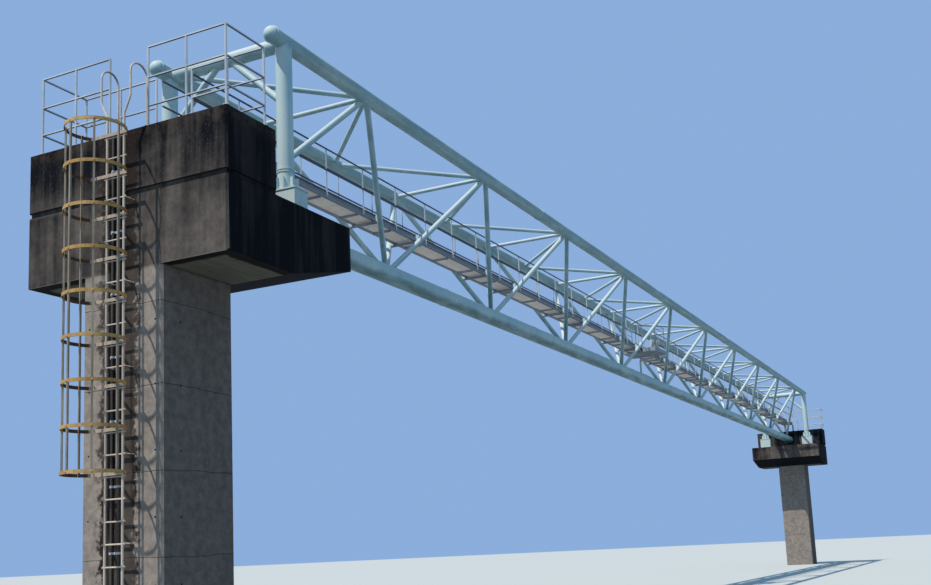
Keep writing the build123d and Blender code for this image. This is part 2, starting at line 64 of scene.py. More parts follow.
NEAR_X = middle("near_right_column").x
FAR_X = middle("far_right_column").x
MIDDLE_X = (NEAR_X + FAR_X) / 2
PANELS = 10
PANEL = (FAR_X - NEAR_X) / PANELS
NODE_X = [NEAR_X + PANEL * index for index in range(PANELS + 1)]
STRUT_X = [NEAR_X + PANEL * (index + 0.5) for index in range(PANELS)]
CHORD_Y = middle("left_chord").y
CHORD_Z = middle("left_chord").z
PIPE_Z = middle("main_pipe").z
HEAD_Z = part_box("near_pier_shaft")[1][2]
LEDGE_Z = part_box("near_pier_head")[1][2]
PARAPET_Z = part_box("near_parapet")[1][2]
BACK_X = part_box("near_parapet")[0][0]
SIDES = (-1, 1)
print("panel", round(PANEL, 3), "chords at", round(CHORD_Y, 3), round(CHORD_Z, 3))

# %% [markdown]
# A finish starts as a Principled shader whose colour and roughness are driven by noise. The
# helpers keep the node lists short: one adds a node, and one feeds its inputs. Coordinates are
# the object's own, so they are metres.

# %% Helpers for shader nodes
def feed(tree, node, inputs):
    """Give each input a number, a colour, or the output of another node."""
    for socket, source in inputs.items():
        target = node.inputs[socket]
        if isinstance(source, bpy.types.NodeSocket):
            tree.links.new(source, target)
        elif target.type == "RGBA":
            target.default_value = (*source, 1)
        else:
            target.default_value = source


def add_node(tree, kind, inputs=None, **values):
    """Add a shader node, set its plain properties and feed its inputs."""
    node = tree.nodes.new(kind)
    for name, value in values.items():
        setattr(node, name, value)
    feed(tree, node, inputs or {})
    return node


def noise(tree, vector, scale, detail, roughness):
    """A noise pattern on the given coordinates."""
    inputs = {"Vector": vector, "Scale": scale, "Detail": detail, "Roughness": roughness}
    return add_node(tree, "ShaderNodeTexNoise", inputs).outputs["Fac"]


def stretched(tree, vector, scale):
    """The same coordinates with each axis scaled by itself."""
    inputs = {"Vector": vector, "Scale": scale}
    return add_node(tree, "ShaderNodeMapping", inputs).outputs["Vector"]


def parts_of(tree, vector):
    """The X, Y and Z of a direction or a place."""
    return add_node(tree, "ShaderNodeSeparateXYZ", {0: vector}).outputs


def facing_of(tree):
    """The X, Y and Z of the direction that the surface faces."""
    return parts_of(tree, add_node(tree, "ShaderNodeNewGeometry").outputs["Normal"])


print("node helpers ready")

# %% [markdown]
# Most marks are masks: a value from 0 to 1 that says how much of a colour shows. A mask often
# starts as a height, a distance or a noise, and a smooth span turns it into 0 to 1.

# %% Helpers for masks and colours
def span(tree, value, low, high, bottom=0.0, top=1.0):
    """Map a value's range onto another one, smoothly and clamped."""
    inputs = {"Value": value, "From Min": low, "From Max": high, "To Min": bottom, "To Max": top}
    node = add_node(tree, "ShaderNodeMapRange", inputs, interpolation_type="SMOOTHSTEP")
    return node.outputs["Result"]


def sums(tree, operation, first, second=0.0):
    """One step of arithmetic on two values."""
    inputs = {0: first, 1: second}
    return add_node(tree, "ShaderNodeMath", inputs, operation=operation).outputs["Value"]


def times(tree, first, second):
    """The product of two masks, where both are present."""
    return sums(tree, "MULTIPLY", first, second)


def on_top(tree, base, mask, share):
    """A base value with a share of a mask added to it."""
    return sums(tree, "ADD", base, times(tree, mask, share))


def apart(tree, first, second=0.0):
    """How far apart two values are, or how large one of them is."""
    return sums(tree, "ABSOLUTE", sums(tree, "SUBTRACT", first, second))


def mixed(tree, mask, first, second):
    """Mix two numbers by a mask."""
    inputs = {0: mask, 2: first, 3: second}
    return add_node(tree, "ShaderNodeMix", inputs, data_type="FLOAT").outputs[0]


def blend(tree, mask, first, second):
    """Mix two colours by a mask."""
    inputs = {0: mask, 6: first, 7: second}
    return add_node(tree, "ShaderNodeMix", inputs, data_type="RGBA").outputs[2]


def layered(tree, colour, *layers):
    """Lay colours over each other in turn, each as far as its mask says."""
    for mask, over in layers:
        colour = blend(tree, mask, colour, over)
    return colour


print("mask helpers ready")

# %% [markdown]
# Rain and shade leave the same marks everywhere: long vertical runs, soft blotches, small spots,
# and a mask of whatever faces down, which darkens undersides as grime and as painted shade. They
# are made once as a node group, and each finish asks for them at its own scale. The runs are noise
# that is squeezed along Z, so it draws out into streaks. The grime and shade mask follows the
# direction that the surface faces, with a ragged edge that the blotches give.

# %% The weathering group
SCALES = ("Run Width", "Blotch Scale", "Spot Scale")
RUN_SQUEEZE = (1.0, 1.0, 0.07)
GRAIN_SCALE = 260.0


def weathering_group():
    """Masks for runs, blotches, spots, and grime with painted shade, and a height for the grain.
    """
    tree = bpy.data.node_groups.new("weathering", "ShaderNodeTree")
    face = tree.interface
    face.new_socket("Vector", in_out="INPUT", socket_type="NodeSocketVector")
    for name in SCALES:
        face.new_socket(name, in_out="INPUT", socket_type="NodeSocketFloat")
    for name in ("Runs", "Blotches", "Spots", "Grime And Shade", "Grain"):
        face.new_socket(name, in_out="OUTPUT", socket_type="NodeSocketFloat")
    inlet = add_node(tree, "NodeGroupInput").outputs
    squeezed = stretched(tree, inlet["Vector"], RUN_SQUEEZE)
    runs = noise(tree, squeezed, inlet["Run Width"], 6.0, 0.6)
    blotches = noise(tree, inlet["Vector"], inlet["Blotch Scale"], 6.0, 0.6)
    spots = noise(tree, inlet["Vector"], inlet["Spot Scale"], 3.0, 0.5)
    soft = span(tree, blotches, 0.35, 0.68)
    ragged = on_top(tree, facing_of(tree)["Z"], soft, 0.35)
    masks = {
        "Runs": span(tree, runs, 0.38, 0.66),
        "Blotches": soft,
        "Spots": span(tree, spots, 0.60, 0.72),
        # Grime and painted shade: darker wherever the surface faces down.
        "Grime And Shade": span(tree, ragged, 0.10, -0.70),
        "Grain": noise(tree, inlet["Vector"], GRAIN_SCALE, 2.0, 0.5),
    }
    add_node(tree, "NodeGroupOutput", masks)
    return tree


WEATHERING = weathering_group()
sockets = WEATHERING.interface.items_tree
print("group outputs", [socket.name for socket in sockets if socket.in_out == "OUTPUT"])

# %% [markdown]
# Each material begins with the object's coordinates, the weathering group at the scale of that
# surface, and an empty Principled shader. It ends with a colour, a roughness and a height that
# dents the surface a little. The colours in between have their own cell.

# %% Begin and finish a material
FINISH = {}


def begin(name, *scales):
    """A new material, kept in FINISH, with its coordinates and weathering at three scales."""
    FINISH[name] = bpy.data.materials.new(name)
    FINISH[name].use_nodes = True
    tree = FINISH[name].node_tree
    place = add_node(tree, "ShaderNodeTexCoord").outputs["Object"]
    inputs = {"Vector": place, **dict(zip(SCALES, scales))}
    weather = add_node(tree, "ShaderNodeGroup", inputs, node_tree=WEATHERING)
    return tree, place, weather.outputs


def finish_with(tree, colour, roughness, height, depth, specular=0.5):
    """Join the colour, roughness and height to the material's shader."""
    bump = add_node(tree, "ShaderNodeBump", {"Height": height, "Distance": depth})
    inputs = {"Base Color": colour, "Roughness": roughness, "Specular IOR Level": specular}
    feed(tree, tree.nodes["Principled BSDF"], {**inputs, "Normal": bump.outputs["Normal"]})


print("materials can begin")

# %% [markdown]
# The truss paint is a pale aqua that chalks in the sun. Chalking makes it lighter and duller in
# blotches. The tops of the tubes and the sides towards the lamp are painted near white, partly as
# bleaching and partly as painted sunlight. The undersides are painted green and dark, as algae and
# as painted shade, thickest on the water pipe low down, and so are the sides of the top chords. A
# few rust spots come through where the paint is thin.

# %% Truss paint
AQUA = ((0.39, 0.62, 0.71), (0.58, 0.73, 0.76))
AQUA_STAINED = (0.24, 0.38, 0.43)
# Near white for bleaching and painted sunlight on the tops and lamp-facing sides.
AQUA_SUNLIT_AND_BLEACHED = (0.65, 0.745, 0.755)
# Green algae and painted shade for the undersides and the chord sides.
ALGAE_AND_SHADE = (0.10, 0.20, 0.21)
PAINT_RUST = (0.30, 0.19, 0.11)
PIPE_LEVEL = LEDGE_Z + 0.5
WEB_LEVEL = LEDGE_Z + 0.9
CHORD_LEVELS = (CHORD_Z - 0.10, CHORD_Z - 0.04)


def sunlit_and_bleached(tree, facing):
    """A mask of bleaching and painted sunlight: the tops, and the sides that face the lamp."""
    sunny = on_top(tree, times(tree, facing["Z"], 0.8), facing["X"], -0.5)
    return span(tree, sunny, 0.08, 0.66, 0.0, 0.94)


def algae_and_shade_on_tubes(tree, place, facing, weather):
    """A patchy mask of algae and painted shade on the undersides and the sides of the top chords.
    """
    height = parts_of(tree, place)["Z"]
    clouds = noise(tree, stretched(tree, place, (0.25, 1.0, 1.0)), 9.0, 5.0, 0.6)
    patchy = span(tree, clouds, 0.3, 0.62, 0.45, 1.0)
    shaded = times(tree, weather["Grime And Shade"], span(tree, facing["Z"], 0.0, -0.45))
    below = times(tree, shaded, span(tree, height, WEB_LEVEL, PIPE_LEVEL, 0.58, 0.92))
    sideways = span(tree, apart(tree, facing["X"]), 0.5, 0.3)
    on_chord = times(tree, span(tree, height, *CHORD_LEVELS), sideways)
    beside = times(tree, on_chord, span(tree, apart(tree, facing["Z"]), 0.85, 0.45, 0.0, 0.5))
    return times(tree, sums(tree, "MAXIMUM", below, beside), patchy)


def truss_paint():
    """Pale aqua paint, chalked and lit with painted sunlight above, green with algae and painted
    shade below.
    """
    tree, place, weather = begin("truss_paint", 16.0, 1.4, 48.0)
    facing = facing_of(tree)
    colour = layered(
        tree,
        blend(tree, weather["Blotches"], *AQUA),
        (times(tree, weather["Runs"], 0.16), AQUA_STAINED),
        (sunlit_and_bleached(tree, facing), AQUA_SUNLIT_AND_BLEACHED),
        (algae_and_shade_on_tubes(tree, place, facing, weather), ALGAE_AND_SHADE),
        (times(tree, weather["Spots"], 0.16), PAINT_RUST),
    )
    rough = span(tree, weather["Blotches"], 0.0, 1.0, 0.48, 0.70)
    finish_with(tree, colour, rough, weather["Grain"], 0.0006, specular=0.15)


truss_paint()
print("finishes", list(FINISH))

# %% [markdown]
# Concrete carries most of the age here. One material covers every face, and it reads where it is
# from the height, the direction that the face looks, and the distance from the bridge's middle.
# This cell gives the coordinate along a wall and the regular marks of the formwork, tie holes and
# pour lines.

# %% Concrete: marks of the formwork
TIE_STEP = (0.60, 0.45)
TIE_RADIUS = 0.009
POUR_STEP = 0.58


def along_wall(tree, axes, facing):
    """The horizontal coordinate along a wall, and a mask of the walls across the bridge."""
    across = sums(tree, "GREATER_THAN", apart(tree, facing["X"]), 0.7)
    return mixed(tree, across, axes["X"], axes["Y"]), across


def from_step(tree, value, step):
    """How far a value is from the middle of its step."""
    share = sums(tree, "FRACT", sums(tree, "DIVIDE", value, step))
    return times(tree, apart(tree, share, 0.5), step)


def tie_holes(tree, along, height):
    """A mask of small round holes on a regular grid."""
    side = sums(tree, "POWER", from_step(tree, along, TIE_STEP[0]), 2.0)
    rise = sums(tree, "POWER", from_step(tree, height, TIE_STEP[1]), 2.0)
    from_hole = sums(tree, "SQRT", sums(tree, "ADD", side, rise))
    return span(tree, from_hole, TIE_RADIUS, TIE_RADIUS * 0.5)


def pour_lines(tree, height, wander):
    """Thin level lines where one pour of concrete met the next."""
    wavy = on_top(tree, height, wander, 0.02)
    return span(tree, from_step(tree, wavy, POUR_STEP), 0.005, 0.001)


print("pour lines every", POUR_STEP, "m, ties every", TIE_STEP, "m")

# %% [markdown]
# The bare concrete is a warm grey, mottled by a fine noise. The pour lines and the tie holes
# show below the head alone. They are dark marks and dents as well, so both are given back.

# %% Concrete: the bare colour
BARE = ((0.315, 0.262, 0.232), (0.495, 0.415, 0.360))
LINE_DARK = (0.06, 0.056, 0.052)
HOLE_DARK = (0.02, 0.02, 0.02)


def bare_concrete(tree, axes, along, fine, weather):
    """Mottled concrete with the marks of its formwork, and how deep the marks are."""
    height = axes["Z"]
    below_head = span(tree, height, HEAD_Z + 0.01, HEAD_Z - 0.01)
    pours = pour_lines(tree, height, weather["Blotches"])
    line = times(tree, times(tree, pours, below_head), 0.55)
    hole = times(tree, tie_holes(tree, along, height), below_head)
    bare = blend(tree, span(tree, fine, 0.3, 0.7), *BARE)
    marked = layered(tree, bare, (line, LINE_DARK), (hole, HOLE_DARK))
    return marked, sums(tree, "ADD", line, hole)


print("bare concrete", BARE)

# %% [markdown]
# Soot comes next. The walls that look along the bridge take the rain: they are dark grey on the
# head, darkest up on the parapet and at the left end, and light on the shaft. The walls at the
# bridge's sides are darker still, as damp and as painted shade, and the head and the parapet are
# almost black there.

# %% Concrete: soot
def soot_and_shade_on_walls(tree, axes, across, weather):
    """How dark each wall is with soot, and on the sides with painted shade, from the height and
    the side that it faces.
    """
    height = axes["Z"]
    on_head = span(tree, height, HEAD_Z - 0.02, HEAD_Z + 0.01)
    below_ledge = span(tree, height, LEDGE_Z, LEDGE_Z - 0.03)
    left_end = times(tree, span(tree, axes["Y"], 0.30, 0.80), below_ledge)
    on_parapet = span(tree, height, LEDGE_Z - 0.25, PARAPET_Z, 0.0, 0.22)
    low = on_top(tree, 0.16, times(tree, left_end, on_head), 0.17)
    climb = on_top(tree, sums(tree, "ADD", on_parapet, low), on_head, 0.64)
    blotchy = on_top(tree, 0.75, weather["Blotches"], 0.20)
    open_wall = times(tree, climb, on_top(tree, blotchy, weather["Runs"], 0.20))
    # The side walls are painted dark for damp and as painted shade.
    damp_streaks = on_top(tree, 0.92, weather["Runs"], 0.10)
    damp_and_shaded_wall = times(tree, on_top(tree, 0.58, on_head, 0.45), damp_streaks)
    return mixed(tree, across, damp_and_shaded_wall, open_wall)


print("head from", round(HEAD_Z, 3), "to", round(PARAPET_Z, 3))

# %% [markdown]
# The other marks of the walls are laid over each other in turn: pale lime where water dried
# just under the head, a brown crust along the top, a dark band behind the ladder that is rust
# stain and painted shadow of the ladder and its cage, and light specks of lichen.

# %% Concrete: the walls
# Soot on all walls, and painted shade on the side walls.
SOOT_AND_SHADE = (0.009, 0.010, 0.014)
LIME = (0.34, 0.32, 0.30)
CRUST = (0.085, 0.060, 0.045)
# Rust stain and painted shadow of the ladder and cage on the wall behind it.
LADDER_STAIN_AND_SHADOW = (0.030, 0.021, 0.018)
LICHEN = (0.22, 0.21, 0.20)
STAIN_AND_SHADOW_Y = middle("ladder").y + 0.06


def behind_ladder(tree, axes, fine, weather):
    """A mask of the back wall behind the ladder, with ragged sides, for rust stain and painted
    shadow.
    """
    ragged = on_top(tree, apart(tree, axes["Y"], STAIN_AND_SHADOW_Y), span(tree, fine, 0.3, 0.7), 0.09)
    beside = span(tree, ragged, 0.235, 0.185)
    on_back = span(tree, axes["X"], BACK_X + 0.02, BACK_X + 0.002)
    runs = span(tree, weather["Runs"], 0.2, 0.8, 0.80, 0.97)
    return times(tree, times(tree, beside, on_back), runs)


def weathered_walls(tree, axes, across, fine, weather, bare):
    """Soot and painted shade, lime, crust, stain with painted shadow, and lichen over the bare
    colour.
    """
    height = axes["Z"]
    lime_start = span(tree, height, HEAD_Z - 0.14, HEAD_Z - 0.03)
    lime_band = times(tree, lime_start, span(tree, height, HEAD_Z + 0.02, HEAD_Z - 0.03))
    lime_patches = times(tree, weather["Blotches"], 0.45)
    near_top = span(tree, height, PARAPET_Z - 0.14, PARAPET_Z)
    return layered(
        tree,
        bare,
        (soot_and_shade_on_walls(tree, axes, across, weather), SOOT_AND_SHADE),
        (times(tree, times(tree, lime_band, across), lime_patches), LIME),
        (times(tree, near_top, span(tree, fine, 0.38, 0.62, 0.05, 0.55)), CRUST),
        (behind_ladder(tree, axes, fine, weather), LADDER_STAIN_AND_SHADOW),
        (times(tree, weather["Spots"], times(tree, across, 0.20)), LICHEN),
    )


print("stain behind the ladder at", round(STAIN_AND_SHADOW_Y, 3))

# %% [markdown]
# The underside of the head keeps the pale olive of the bare formwork inside a dark border,
# because water creeps round the edge and no further. The part that slopes up to the front is
# nearly black. Last, the walls, the undersides and the tops are put together.

# %% Concrete: the underside and the material
SOFFIT = ((0.125, 0.120, 0.090), (0.180, 0.172, 0.130))
BORDER = (0.012, 0.012, 0.013)
SLOPE = (0.008, 0.009, 0.013)
TOP = ((0.060, 0.056, 0.045), (0.16, 0.15, 0.12))
HEAD_EDGES = {"X": (MIDDLE_X, MIDDLE_X - BACK_X), "Y": (0.0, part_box("near_pier_head")[1][1])}


def border_below(tree, axes, weather):
    """The dark edge round the underside of a pier's head."""
    borders = []
    for axis, (centre, reach) in HEAD_EDGES.items():
        away = on_top(tree, apart(tree, axes[axis], centre), weather["Blotches"], 0.05)
        borders.append(span(tree, away, reach - 0.10, reach - 0.06))
    return sums(tree, "MAXIMUM", *borders)


def underside(tree, place, axes, upward, weather, walls):
    """The soffit's boards and border, and the black slope, put in over the walls."""
    boards = noise(tree, stretched(tree, place, (0.6, 22.0, 1.0)), 4.0, 3.0, 0.5)
    soffit = blend(tree, span(tree, boards, 0.35, 0.65), *SOFFIT)
    edged = blend(tree, border_below(tree, axes, weather), soffit, BORDER)
    level = span(tree, upward, -0.990, -0.998)
    off_level = span(tree, upward, -0.998, -0.990)
    slope = times(tree, span(tree, upward, -0.60, -0.80), off_level)
    return layered(tree, walls, (level, edged), (slope, SLOPE))


def concrete():
    """Pale shaft, sides painted black for damp and shade, and a brown crust at the top."""
    tree, place, weather = begin("concrete", 7.0, 2.0, 58.0)
    axes = parts_of(tree, place)
    facing = facing_of(tree)
    along, across = along_wall(tree, axes, facing)
    fine = noise(tree, place, 14.0, 8.0, 0.65)
    bare, marks = bare_concrete(tree, axes, along, fine, weather)
    walls = weathered_walls(tree, axes, across, fine, weather, bare)
    under = underside(tree, place, axes, facing["Z"], weather, walls)
    top = blend(tree, span(tree, fine, 0.36, 0.66), *TOP)
    colour = blend(tree, span(tree, facing["Z"], 0.6, 0.9), under, top)
    grain = on_top(tree, times(tree, fine, 0.8), weather["Grain"], 0.2)
    finish_with(tree, colour, 0.95, sums(tree, "SUBTRACT", grain, marks), 0.004, specular=0.04)


concrete()
print("finishes", list(FINISH))

# %% [markdown]
# The metalwork around the truss is plainer. Each finish is a base colour, a second colour that
# the weather brings, rust, and grime with painted shade below, so all share one recipe with their
# own values.

# %% Weathered metal
# Grime and painted shade for the downward faces of the metalwork.
GRIME_AND_SHADE = (0.022, 0.032, 0.048)
RUST = (0.20, 0.085, 0.035)
CONDUIT_DUST = (0.12, 0.10, 0.08)


def weathered_metal(name, base, worn, rust_share, rough, grime_and_shade=0.6, rust=RUST):
    """Paint or zinc that wears to a second colour, rusts, and is darker below as grime and painted
    shade.
    """
    tree, place, weather = begin(name, 40.0, 2.5, 70.0)
    faded = blend(tree, weather["Blotches"], base, worn)
    runs = times(tree, weather["Runs"], rust_share)
    spots = times(tree, weather["Spots"], min(1.0, rust_share * 2))
    rusted = sums(tree, "MAXIMUM", runs, spots)
    colour = layered(tree, faded, (rusted, rust), (times(tree, weather["Grime And Shade"], grime_and_shade), GRIME_AND_SHADE))
    roughness = span(tree, weather["Blotches"], 0.0, 1.0, rough - 0.1, rough + 0.12)
    finish_with(tree, colour, roughness, weather["Grain"], 0.0005)


STEEL = ((0.27, 0.33, 0.41), (0.36, 0.42, 0.49))
ZINC = ((0.50, 0.54, 0.60), (0.70, 0.73, 0.77))
LADDER_TAN = ((0.74, 0.60, 0.49), (0.83, 0.72, 0.61))
CONDUIT_BLACK = ((0.030, 0.030, 0.034), (0.07, 0.066, 0.062))
VALVE_GREY = ((0.50, 0.56, 0.58), (0.66, 0.70, 0.71))
METALS = {
    "walkway_steel": (*STEEL, 0.22, 0.7, 0.5),
    "galvanised_tube": (*ZINC, 0.04, 0.5, 0.95),
    "ladder_paint": (*LADDER_TAN, 0.28, 0.6, 0.85),
    "conduit": (*CONDUIT_BLACK, 0.3, 0.6, 0.6, CONDUIT_DUST),
    "valve_body": (*VALVE_GREY, 0.25, 0.5, 0.5),
}
for metal, values in METALS.items():
    weathered_metal(metal, *values)
print("finishes", list(FINISH))

# %% [markdown]
# The walkway's handrails are zinc too, but their long rails are painted nearly black as painted
# shade, which they are in when seen from below, while the posts stay pale. Two thin bands of
# height pick the rails out.

# %% Handrail finish
RAIL_HALF = 0.0085
RAIL_GAP = 0.205
TOP_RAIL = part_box("right_handrail")[1][2] - RAIL_HALF
RAIL_LEVELS = (TOP_RAIL, TOP_RAIL - RAIL_GAP)
# Painted shade for the long rails.
RAIL_SHADE = (0.010, 0.022, 0.050)


def handrail_zinc():
    """Zinc with painted shade on the rails, which their heights pick out."""
    weathered_metal("handrail_zinc", *METALS["galvanised_tube"])
    tree = FINISH["handrail_zinc"].node_tree
    shader = tree.nodes["Principled BSDF"]
    zinc = shader.inputs["Base Color"].links[0].from_socket
    height = parts_of(tree, add_node(tree, "ShaderNodeTexCoord").outputs["Object"])["Z"]
    band = 0.0
    for rail_z in RAIL_LEVELS:
        on_rail = span(tree, apart(tree, height, rail_z), RAIL_HALF + 0.003, RAIL_HALF + 0.001)
        band = sums(tree, "MAXIMUM", band, on_rail)
    rail_shaded = blend(tree, times(tree, band, 0.92), zinc, RAIL_SHADE)
    feed(tree, shader, {"Base Color": rail_shaded})


handrail_zinc()
print("rails at", [round(rail_z, 4) for rail_z in RAIL_LEVELS])

# %% [markdown]
# The deck is made of plates with a raised diamond pattern on their upward faces. Two sets of
# diagonal waves make the bars: each is a sine of the distance along one diagonal. The tops are
# dark with dirt, and the undersides are painted pale, lighter than the plates' own tan, as painted
# light bounced up from below.

# %% Deck plates
TREAD_STEP = 0.022
# The plates' tan, painted lighter below as bounced light.
PLATE_BELOW_LIT = ((0.88, 0.73, 0.64), (0.95, 0.83, 0.75))
PLATE_ABOVE = ((0.26, 0.25, 0.24), (0.37, 0.35, 0.33))
TREAD_WORN = (0.30, 0.27, 0.25)


def diagonal_bars(tree, axes, turn):
    """Raised bars that run along one diagonal of the deck."""
    lean = times(tree, axes["Y"], turn)
    phase = times(tree, sums(tree, "ADD", axes["X"], lean), 2 * math.pi / TREAD_STEP)
    cross = times(tree, sums(tree, "SUBTRACT", axes["X"], lean), math.pi / TREAD_STEP)
    ridge = span(tree, sums(tree, "SINE", phase), 0.72, 0.92)
    return times(tree, ridge, span(tree, sums(tree, "SINE", cross), 0.1, 0.4))


def deck_plates():
    """Plates with a dirty tread pattern on top, and undersides painted pale as bounced light."""
    tree, place, weather = begin("deck_boards", 30.0, 3.2, 60.0)
    axes = parts_of(tree, place)
    upward = facing_of(tree)["Z"]
    below = blend(tree, weather["Blotches"], *PLATE_BELOW_LIT)
    above = blend(tree, weather["Blotches"], *PLATE_ABOVE)
    plain = blend(tree, span(tree, upward, 0.3, 0.6), below, above)
    rust = times(tree, sums(tree, "MAXIMUM", weather["Spots"], weather["Runs"]), 0.16)
    bars = sums(tree, "MAXIMUM", diagonal_bars(tree, axes, 1.0), diagonal_bars(tree, axes, -1.0))
    tread = times(tree, bars, span(tree, upward, 0.6, 0.9))
    colour = layered(tree, plain, (rust, RUST), (times(tree, tread, 0.5), TREAD_WORN))
    finish_with(tree, colour, 0.75, on_top(tree, tread, weather["Grain"], 0.2), 0.0015)


deck_plates()
print("tread bars every", TREAD_STEP, "m")

# %% [markdown]
# The cage has several colours on one solid: ochre hoops, grey-tan straps, inner faces painted
# dark as rust and as painted shade, and pale bars where the hoops close on the ladder. The hoops
# lie at a regular step in height, so the height tells a hoop from a strap. The inner faces are
# those that look to the cage's axis.

# %% Cage paint
HOOP_STEP = 0.30
HOOP_HALF = 0.0126
HOOP_OCHRE = ((0.54, 0.29, 0.075), (0.70, 0.44, 0.16))
STRAP_TAN = ((0.29, 0.245, 0.185), (0.43, 0.375, 0.30))
# Rust and painted shade for the hoops' inner faces.
INNER_RUST_AND_SHADE = (0.050, 0.024, 0.020)
CLOSING_BAR = (0.56, 0.44, 0.34)
CAGE_RUST = (0.16, 0.075, 0.030)
# Grime and painted shade for the cage's downward faces.
CAGE_GRIME_AND_SHADE = (0.06, 0.035, 0.02)
cage_low, cage_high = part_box("ladder_cage")
CAGE_RADIUS = (cage_high[1] - cage_low[1]) / 2
CAGE_X = cage_low[0] + CAGE_RADIUS
CAGE_Y = (cage_low[1] + cage_high[1]) / 2
TOP_HOOP = cage_high[2] - HOOP_HALF


def cage_paint():
    """Ochre hoops with grey-tan straps, dark with rust and painted shade on their inner faces."""
    tree, place, weather = begin("cage_paint", 40.0, 4.0, 80.0)
    axes = parts_of(tree, place)
    facing = facing_of(tree)
    drop = sums(tree, "SUBTRACT", TOP_HOOP + HOOP_STEP / 2, axes["Z"])
    on_hoop = span(tree, from_step(tree, drop, HOOP_STEP), HOOP_HALF + 0.002, HOOP_HALF)
    hoop = blend(tree, weather["Blotches"], *HOOP_OCHRE)
    strap = blend(tree, weather["Blotches"], *STRAP_TAN)
    plain = blend(tree, on_hoop, strap, hoop)
    off_x = times(tree, sums(tree, "SUBTRACT", axes["X"], CAGE_X), facing["X"])
    off_y = times(tree, sums(tree, "SUBTRACT", axes["Y"], CAGE_Y), facing["Y"])
    inner = span(tree, sums(tree, "ADD", off_x, off_y), -0.05, -0.10)
    runs = times(tree, weather["Runs"], 0.35)
    colour = layered(
        tree,
        plain,
        (times(tree, times(tree, inner, on_hoop), 0.97), INNER_RUST_AND_SHADE),
        (span(tree, axes["X"], cage_high[0] - 0.018, cage_high[0] - 0.010), CLOSING_BAR),
        (sums(tree, "MAXIMUM", runs, times(tree, weather["Spots"], 0.6)), CAGE_RUST),
        (times(tree, weather["Grime And Shade"], 0.8), CAGE_GRIME_AND_SHADE),
    )
    finish_with(tree, colour, 0.72, weather["Grain"], 0.0005)


cage_paint()
print("finishes", list(FINISH))

# %% [markdown]
# The record says which slot each solid belongs to. Only the material in the slot is swapped, the
# mesh stays as it is. The handrails alone get a finish of their own.

# %% Dress the solids
slot_of = {part["node"]: part["material_slot"] for part in frame["record"]["subparts"]}
slot_of["left_handrail"] = slot_of["right_handrail"] = "handrail_zinc"
for node, thing in frame["nodes"].items():
    for slot in thing.material_slots:
        slot.material = FINISH[slot_of[node]]
print("dressed", len(slot_of), "solids")

# %% [markdown]
# Small fittings are repeated many times, so each kind is shaped once and then stamped. A stamp is
# a mesh made at the origin with its Z pointing out of the surface that it sits on, and a matrix
# puts each copy in its place. All the copies of a kind end up in one piece.

# %% Helpers for the fittings
def kept(shape, name):
    """Recalculate a finished shape's normals and keep it as a mesh."""
    bmesh.ops.recalc_face_normals(shape, faces=shape.faces)
    mesh = bpy.data.meshes.new(name)
    shape.to_mesh(mesh)
    shape.free()
    return mesh


def stamp(work, template, place):
    """Copy a template mesh to a place, a matrix, and give back the copy's vertices."""
    first = len(work.verts)
    work.from_mesh(template)
    work.verts.ensure_lookup_table()
    copied = work.verts[first:]
    bmesh.ops.transform(work, matrix=place, verts=copied)
    return copied


def put_in_scene(name, data):
    """A new object of a mesh, a camera or a lamp, linked to the scene."""
    thing = bpy.data.objects.new(name, data)
    bpy.context.scene.collection.objects.link(thing)
    return thing


def add_piece(name, work, slot, smooth=False):
    """Make a piece of the finished shapes, in its slot's finish, riding on the bridge."""
    mesh = bpy.data.meshes.new(name)
    work.to_mesh(mesh)
    work.free()
    for face in mesh.polygons:
        face.use_smooth = smooth
    mesh.materials.append(FINISH[slot])
    piece = put_in_scene(name, mesh)
    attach(piece, "root")
    print(name, "has", len(mesh.polygons), "faces")


def seat(x, y, z, outward=(0, 0, 1)):
    """The matrix of a place on a surface whose outward direction is given."""
    turned = Vector(outward).to_track_quat("Z", "Y").to_matrix().to_4x4()
    return Matrix.Translation((x, y, z)) @ turned


def turned_to(along_x, along_y, along_z):
    """The matrix that turns X, Y and Z to three other directions."""
    return Matrix((along_x, along_y, along_z)).transposed().to_4x4()


print("fitting helpers ready")

# %% [markdown]
# A shape is modelled in a few steps: raise a flat face into a plate, push a face out and go on
# from there, spin it round, and ease an edge so that it catches the light.

# %% Modelling steps
def face_in(items):
    """The first face among some vertices, edges and faces."""
    return next(item for item in items if isinstance(item, bmesh.types.BMFace))


def pushed(shape, faces, step):
    """Extrude faces by a step and give back the new vertices and the face at the end."""
    grown = bmesh.ops.extrude_face_region(shape, geom=faces)["geom"]
    verts = [item for item in grown if isinstance(item, bmesh.types.BMVert)]
    bmesh.ops.translate(shape, vec=step, verts=verts)
    return verts, face_in(grown)


def raised(shape, faces, height):
    """Extrude flat faces along Z by a height and give back the edges of the new top."""
    top, _ = pushed(shape, faces, (0, 0, height))
    return [edge for edge in shape.edges if edge.verts[0] in top and edge.verts[1] in top]


def plate(corners, level, thick):
    """A flat plate with the given corners, raised from a level along Z."""
    shape = bmesh.new()
    outline = shape.faces.new([shape.verts.new((x, y, level)) for x, y in corners])
    raised(shape, [outline], thick)
    return shape


def eased(shape, edges, offset, segments=1):
    """Round edges over with a small bevel."""
    how = {"offset": offset, "segments": segments, "profile": 0.5, "material": -1}
    bmesh.ops.bevel(shape, geom=edges, affect="EDGES", **how)


def spun(shape, geom, angle, steps, closed=False):
    """Spin geometry round Z and give back what the last step made."""
    how = {"angle": angle, "steps": steps, "use_merge": closed, "use_duplicate": False}
    turned = bmesh.ops.spin(shape, geom=geom, cent=(0, 0, 0), axis=(0, 0, 1), **how)
    return turned["geom_last"]


print("modelling steps ready")

# %% [markdown]
# A bolt end is a hexagon nut on a stub of thread, with its top corners eased, as on a real nut. A
# base plate is a round disc with a small radius at its rim.

